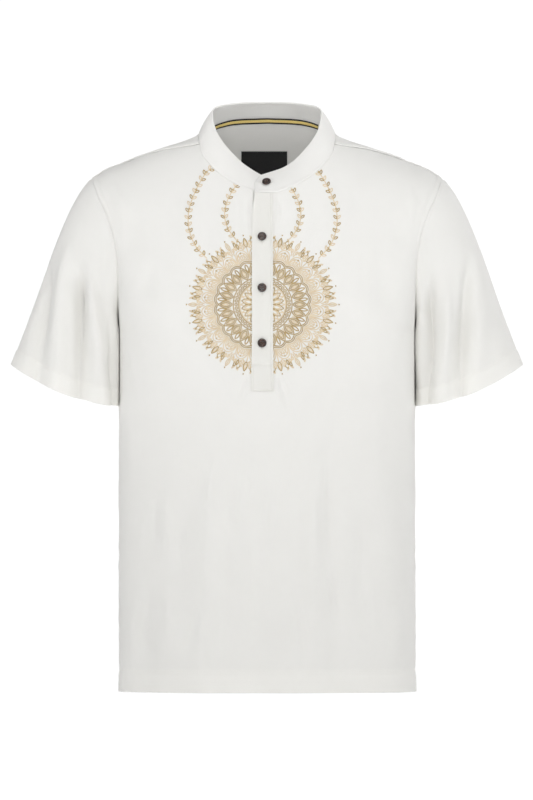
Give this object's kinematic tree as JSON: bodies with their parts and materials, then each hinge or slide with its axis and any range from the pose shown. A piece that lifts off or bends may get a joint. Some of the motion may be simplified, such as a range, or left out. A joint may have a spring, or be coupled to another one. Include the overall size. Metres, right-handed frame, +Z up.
{
  "type": "koko shirt",
  "caption": "Short-sleeved pullover shirt with a stand collar, a buttoned half placket and a yoke, in its hollow worn form.",
  "frame": {"origin": "midway between the two side-neck points, where the wearer's shoulders carry the shirt", "axes": "+Z up, the front of the shirt faces -Y, +X towards the wearer's left"},
  "size_m": [0.6558, 0.2317, 0.7553],
  "materials": {
    "cloth": "fine woven white cotton blend with a soft sheen",
    "collar_cloth": "the same cloth, interlined",
    "tape_cloth": "woven tape, gold between black edges",
    "label_cloth": "plain black satin",
    "horn": "dark horn look, polished rim"
  },
  "bodies": {
    "root": {"front": "cloth", "back": "cloth", "yoke": "cloth", "sleeve_left": "cloth", "sleeve_right": "cloth", "collar": "collar_cloth", "placket_over": "cloth", "placket_under": "cloth", "neck_tape": "tape_cloth", "label": "label_cloth", "button_1": "horn", "button_2": "horn", "button_3": "horn", "button_4": "horn"}
  },
  "joints": []
}
